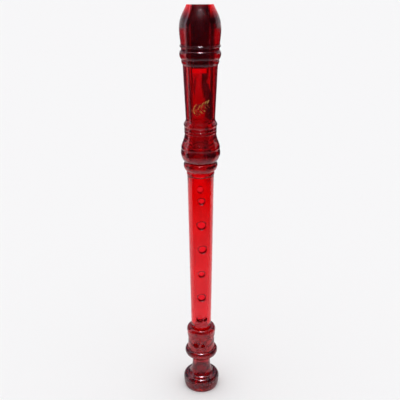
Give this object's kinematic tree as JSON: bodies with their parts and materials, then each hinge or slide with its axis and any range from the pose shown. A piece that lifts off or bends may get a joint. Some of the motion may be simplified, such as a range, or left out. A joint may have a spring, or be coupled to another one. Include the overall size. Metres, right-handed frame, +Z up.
{
  "type": "soprano recorder",
  "caption": "Upright three-joint soprano recorder in clear red plastic, with beak, windway, window and lip, ringed barrel, finger holes, double holes and bell foot.",
  "frame": {"origin": "centre of the foot joint's flat bottom face, on the bench that the recorder stands on", "axes": "+Z up along the bore to the beak, -Y towards the window and the finger holes, +Y towards the thumb hole, +X to the right as the finger holes are looked at"},
  "size_m": [0.0312, 0.0312, 0.326],
  "materials": {
    "clear_red_plastic": "glossy transparent injection-moulded plastic, tinted red all through",
    "dense_red_plastic": "the same plastic tinted so deep that it looks nearly black in the beak"
  },
  "bodies": {
    "middle": {"middle_joint": "clear_red_plastic"},
    "head": {"head_joint": "clear_red_plastic", "block": "dense_red_plastic"},
    "foot": {"foot_joint": "clear_red_plastic"}
  },
  "joints": [
    {"name": "head_pull", "type": "slide", "parent": "middle", "child": "head", "axis": [0, 0, 1], "range_m": [0, 0.024]},
    {"name": "foot_twist", "type": "hinge", "parent": "middle", "child": "foot", "pos_m": [0, 0, 0.0541], "axis": [0, 0, 1], "continuous": true}
  ]
}
